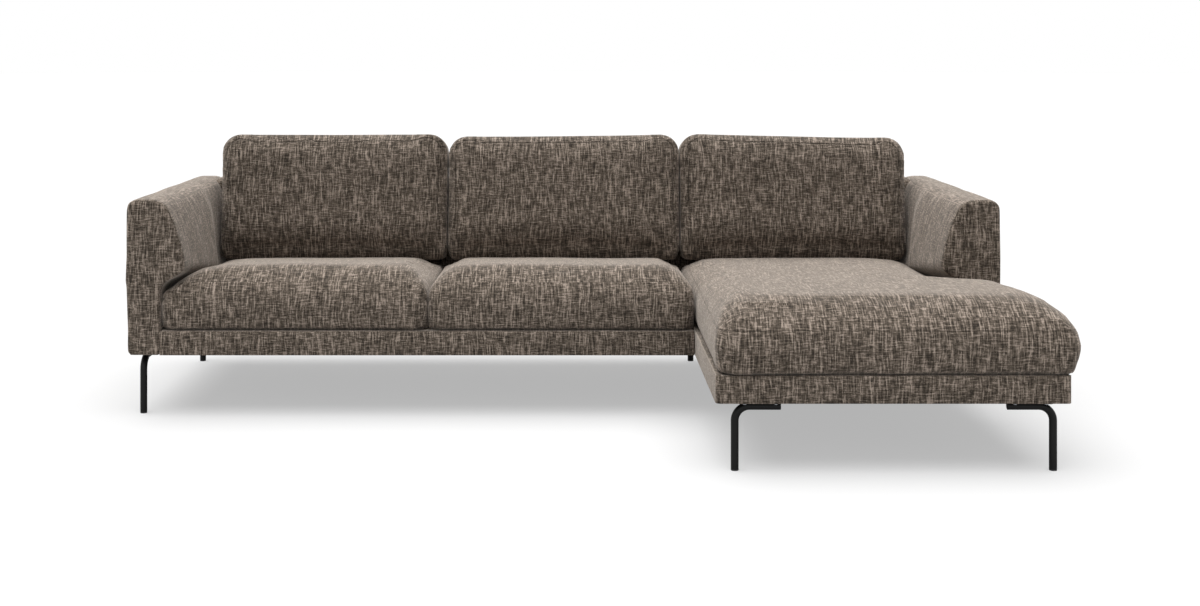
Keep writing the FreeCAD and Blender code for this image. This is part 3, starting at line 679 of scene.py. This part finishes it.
def makePlinth(name, body, node, corners, settings):
    mesh = bmesh.new()
    outlineFace(mesh, corners, lambda c: (c[0], c[1], settings["bottom"]))
    verts = list(mesh.verts)
    for vert, corner in zip(verts, corners):
        if corner[2]:
            bmesh.ops.bevel(mesh, geom=[vert], offset=corner[2], offset_type="OFFSET", segments=5,
                            profile=0.5, affect="VERTICES", material=-1)
    swept = bmesh.ops.extrude_face_region(mesh, geom=list(mesh.faces))
    moved = [item for item in swept["geom"] if isinstance(item, bmesh.types.BMVert)]
    height = settings["top"] - settings["bottom"]
    bmesh.ops.translate(mesh, verts=moved, vec=(0, 0, height))
    bmesh.ops.recalc_face_normals(mesh, faces=mesh.faces)
    top = [face for face in mesh.faces if face.normal.z > 0.9]
    bmesh.ops.inset_region(mesh, faces=top, thickness=settings["flange"])
    tops = [face for face in mesh.faces if face.normal.z > 0.9]
    opening = max(tops, key=lambda face: face.calc_area())
    base = [face for face in mesh.faces if face.normal.z < -0.9]
    bmesh.ops.delete(mesh, geom=[opening] + base, context="FACES")
    rim = [edge for edge in mesh.edges if len(edge.link_faces) == 2
           and abs(edge.verts[0].co.z - settings["top"]) < 1e-5
           and abs(edge.verts[1].co.z - settings["top"]) < 1e-5
           and abs(edge.link_faces[0].normal.z - edge.link_faces[1].normal.z) > 0.5]
    bmesh.ops.bevel(mesh, geom=rim, offset=settings["edge"], offset_type="OFFSET", segments=3,
                    profile=0.5, affect="EDGES", material=-1)
    bmesh.ops.solidify(mesh, geom=list(mesh.faces), thickness=settings["thick"])
    piece = newPiece(name, mesh, body, fabric)
    shadeSmooth(piece)
    smooth = piece.modifiers.new("edges", "BEVEL")
    smooth.width = settings["fold"]
    smooth.segments = 2
    smooth.limit_method = "ANGLE"
    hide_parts(node)
    print("plinth", name, len(piece.data.polygons))


makePlinth("plinthTwoSeat", "two_seat_unit", "two_seat_plinth_cover",
           [(-1.308, -0.125, 0), (0.399, -0.125, 0), (0.399, 0.602, 0), (-1.308, 0.602, 0)],
           plinthSettings)
makePlinth("plinthChaise", "chaise_unit", "chaise_plinth_cover",
           [(0.401, -0.773, 0.015), (1.386, -0.773, 0.015), (1.386, -0.126, 0), (1.268, -0.126, 0),
            (1.268, 0.602, 0), (0.401, 0.602, 0)], plinthSettings)


# legs: bent tube welded under a plate

legSettings = {
    "tube": 0.011, "bend": 0.041, "reach": 0.128, "foot": 0.004, "axis": 0.1795, "plate": (0.008, 0.127),
    "plateWidth": 0.062, "plateZ": (0.191, 0.198), "plateCorner": 0.008, "sides": 32, "bendSteps": 12,
    "weld": 0.0032, "weldShorter": 0.012, "weldBack": 0.002, "weldOut": 0.0072, "weldBelow": 0.0015,
    "smoothBelow": 0.0012, "sharpAngle": 35,
}


def addTube(mesh, settings):
    ring = bmesh.ops.create_circle(mesh, cap_ends=True, segments=settings["sides"],
                                   radius=settings["tube"])["verts"]
    bmesh.ops.translate(mesh, verts=ring, vec=(0, 0, settings["foot"]))
    face = [item for item in mesh.faces if set(item.verts) == set(ring)]
    rise = settings["axis"] - settings["bend"] - settings["foot"]
    swept = bmesh.ops.extrude_face_region(mesh, geom=face)["geom"]
    top = [item for item in swept if isinstance(item, bmesh.types.BMVert)]
    bmesh.ops.translate(mesh, verts=top, vec=(0, 0, rise))
    cap = [item for item in swept if isinstance(item, bmesh.types.BMFace)]
    spun = bmesh.ops.spin(mesh, geom=cap, cent=(settings["bend"], 0, settings["axis"] - settings["bend"]),
                          axis=(0, 1, 0), angle=math.pi / 2, steps=settings["bendSteps"],
                          use_duplicate=False)
    last = [item for item in spun["geom_last"] if isinstance(item, bmesh.types.BMFace)]
    end = bmesh.ops.extrude_face_region(mesh, geom=last)["geom"]
    endVerts = [item for item in end if isinstance(item, bmesh.types.BMVert)]
    bmesh.ops.translate(mesh, verts=endVerts, vec=(settings["reach"] - settings["bend"], 0, 0))


def addPlate(mesh, settings):
    low, high = settings["plate"]
    bottom, top = settings["plateZ"]
    made = bmesh.ops.create_cube(mesh, size=1)["verts"]
    bmesh.ops.scale(mesh, verts=made, vec=(high - low, settings["plateWidth"], top - bottom))
    bmesh.ops.translate(mesh, verts=made, vec=((low + high) / 2, 0, (bottom + top) / 2))
    upright = [edge for edge in mesh.edges if edge.verts[0] in made and edge.verts[1] in made
               and abs(edge.verts[0].co.z - edge.verts[1].co.z) > 0.001]
    bmesh.ops.bevel(mesh, geom=upright, offset=settings["plateCorner"], offset_type="OFFSET", segments=4,
                    profile=0.5, affect="EDGES", material=-1)


def addWeld(mesh, side, settings):
    run = settings["reach"] - settings["bend"] - settings["weldShorter"]
    made = bmesh.ops.create_cone(mesh, cap_ends=True, segments=10, radius1=settings["weld"],
                                 radius2=settings["weld"], depth=run)["verts"]
    bmesh.ops.rotate(mesh, verts=made, cent=(0, 0, 0), matrix=Matrix.Rotation(math.pi / 2, 3, "Y"))
    middle = (settings["bend"] + settings["reach"]) / 2 - settings["weldBack"]
    height = settings["plateZ"][0] - settings["weldBelow"]
    bmesh.ops.translate(mesh, verts=made, vec=(middle, side * settings["weldOut"], height))


def makeLegs(name, body, node, places, settings):
    whole = bmesh.new()
    for x, y, turn in places:
        one = bmesh.new()
        addTube(one, settings)
        addPlate(one, settings)
        for side in (-1, 1):
            addWeld(one, side, settings)
        bmesh.ops.rotate(one, verts=one.verts, cent=(0, 0, 0),
                         matrix=Matrix.Rotation(math.radians(turn), 3, "Z"))
        bmesh.ops.translate(one, verts=one.verts, vec=(x, y, 0))
        bmesh.ops.recalc_face_normals(one, faces=one.faces)
        part = bpy.data.meshes.new("leg")
        one.to_mesh(part)
        one.free()
        whole.from_mesh(part)
        bpy.data.meshes.remove(part)
    piece = newPiece(name, whole, body, slotFinishes["black_steel"])
    for polygon in piece.data.polygons:
        polygon.use_smooth = len(polygon.vertices) == 4 and polygon.area < settings["smoothBelow"]
    piece.data.set_sharp_from_angle(angle=math.radians(settings["sharpAngle"]))
    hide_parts(node)
    print("legs", name, len(piece.data.polygons))


makeLegs("legsTwoSeat", "two_seat_unit", "two_seat_legs",
         [(-1.374, -0.066, 90), (-1.374, 0.734, -90)], legSettings)
makeLegs("legsChaise", "chaise_unit", "chaise_legs",
         [(0.459, -0.722, 0), (1.348, -0.722, 180), (0.459, 0.734, 0), (1.334, 0.734, -90)], legSettings)


# cloth sheets: the deck under the cushions and the dust cover below

sheetSettings = {
    "deckTop": 0.2735, "dustLow": 0.1982, "deckSag": 0.004, "dustSag": 0.003,
    "columns": 24, "rows": 20, "merge": 0.0005, "slack": 1e-4, "sagReach": 0.16,
}


def makeSheet(name, body, node, rectangles, height, sag, area, settings):
    mesh = bmesh.new()
    slack = settings["slack"]
    for x0, x1, y0, y1 in rectangles:
        made = bmesh.ops.create_grid(mesh, x_segments=settings["columns"], y_segments=settings["rows"],
                                     size=0.5)["verts"]
        bmesh.ops.scale(mesh, verts=made, vec=(x1 - x0, y1 - y0, 1))
        bmesh.ops.translate(mesh, verts=made, vec=((x0 + x1) / 2, (y0 + y1) / 2, height))
    bmesh.ops.remove_doubles(mesh, verts=mesh.verts, dist=settings["merge"])
    lowX, highX = min(r[0] for r in rectangles), max(r[1] for r in rectangles)
    lowY, highY = min(r[2] for r in rectangles), max(r[3] for r in rectangles)
    for vert in mesh.verts:
        rims = []
        for x0, x1, y0, y1 in rectangles:
            if x0 - slack <= vert.co.x <= x1 + slack and y0 - slack <= vert.co.y <= y1 + slack:
                rims.append(min(vert.co.x - lowX, x1 - vert.co.x, vert.co.y - lowY, highY - vert.co.y))
        vert.co.z -= sag * smoothStep(max(rims), 0, settings["sagReach"])
    piece = newPiece(name, mesh, body, slotFinishes["lining_cloth"])
    shadeSmooth(piece)
    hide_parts(node)
    highX - lowX
    highY - lowY


def sheetArea(rectangles):
    return sum((r[1] - r[0]) * (r[3] - r[2]) for r in rectangles)


deckTwoSeat = [(-1.248, 0.339, -0.065, 0.542)]
deckChaise = [(0.461, 1.319, -0.713, -0.186), (0.461, 1.208, -0.186, 0.542)]
dustTwoSeat = [(-1.305, 0.396, -0.122, 0.599)]
dustChaise = [(0.404, 1.376, -0.770, -0.129), (0.404, 1.265, -0.129, 0.599)]
for name, body, node, rectangles, height, sag in (
        ("deckClothTwoSeat", "two_seat_unit", "two_seat_deck_cloth", deckTwoSeat, "deckTop", "deckSag"),
        ("deckClothChaise", "chaise_unit", "chaise_deck_cloth", deckChaise, "deckTop", "deckSag"),
        ("dustClothTwoSeat", "two_seat_unit", "two_seat_dust_cover", dustTwoSeat, "dustLow", "dustSag"),
        ("dustClothChaise", "chaise_unit", "chaise_dust_cover", dustChaise, "dustLow", "dustSag")):
    makeSheet(name, body, node, rectangles, sheetSettings[height], sheetSettings[sag],
              None if len(rectangles) == 1 else sheetArea(rectangles), sheetSettings)
print("sheets ready")


# floor, light and camera

studio = {
    "floor": 0.72, "floorBounce": 0.48, "floorLift": 0.44, "skyLight": 0.26, "skySeen": 1.0,
    "camera": (-0.020, -4.925, 1.187), "lens": 45.15, "shift": (0.0307, -0.215),
}


def makeFloor(settings):
    mesh = bmesh.new()
    bmesh.ops.create_circle(mesh, cap_ends=True, segments=64, radius=60)
    data = bpy.data.meshes.new("floor")
    mesh.to_mesh(data)
    mesh.free()
    floor = bpy.data.objects.new("floor", data)
    scene.collection.objects.link(floor)
    finish = Finish("paleFloor")
    path = finish.node("ShaderNodeLightPath")
    seen = Wire(finish.tree, path.socket.node.outputs["Is Camera Ray"])
    tone = seen * (settings["floor"] - settings["floorBounce"]) + settings["floorBounce"]
    matt = finish.node("ShaderNodeBsdfDiffuse", inputs={"Color": finish.joined(tone, tone, tone)})
    glow = finish.node("ShaderNodeEmission", inputs={"Color": (1, 1, 1, 1), "Strength": 1.0})
    mixed = finish.node("ShaderNodeMixShader", inputs={0: seen * settings["floorLift"], 1: matt, 2: glow})
    finish.node("ShaderNodeOutputMaterial", inputs={"Surface": mixed})
    data.materials.append(finish.material)


def makeWorld(settings):
    world = bpy.data.worlds.new("studioSky")
    world.use_nodes = True
    scene.world = world
    tree = world.node_tree
    tree.nodes.clear()
    path = tree.nodes.new("ShaderNodeLightPath")
    seen = Wire(tree, path.outputs["Is Camera Ray"]) + Wire(tree, path.outputs["Is Glossy Ray"])
    seen = (seen + Wire(tree, path.outputs["Is Transmission Ray"])).math("MINIMUM", 1.0)
    strength = seen * (settings["skySeen"] - settings["skyLight"]) + settings["skyLight"]
    sky = tree.nodes.new("ShaderNodeBackground")
    sky.inputs["Color"].default_value = (1, 1, 1, 1)
    tree.links.new(strength.socket, sky.inputs["Strength"])
    output = tree.nodes.new("ShaderNodeOutputWorld")
    tree.links.new(sky.outputs[0], output.inputs["Surface"])


lamps = [  # name, the way it comes from, strength, spread in degrees
    ("overhead", (-0.12, -0.05, 1.0), 4.0, 80),
    ("front", (-0.15, -1.0, 0.55), 0.36, 60),
]


def makeLamps(rows):
    for name, source, strength, spread in rows:
        data = bpy.data.lights.new(name, "SUN")
        data.energy = strength
        data.angle = math.radians(spread)
        lamp = bpy.data.objects.new(name, data)
        lamp.location = Vector(source) * 4
        lamp.rotation_euler = Vector(source).to_track_quat("Z", "Y").to_euler()
        scene.collection.objects.link(lamp)


def makeCamera(settings):
    data = bpy.data.cameras.new("camera")
    data.lens = settings["lens"]
    data.sensor_width = 36
    data.shift_x, data.shift_y = settings["shift"]
    camera = bpy.data.objects.new("camera", data)
    camera.location = settings["camera"]
    camera.rotation_euler = (math.pi / 2, 0, 0)
    scene.collection.objects.link(camera)
    scene.camera = camera


makeFloor(studio)
makeWorld(studio)
makeLamps(lamps)
makeCamera(studio)
scene.view_settings.view_transform = "Standard"
print("studio ready")

bpy.context.view_layer.update()
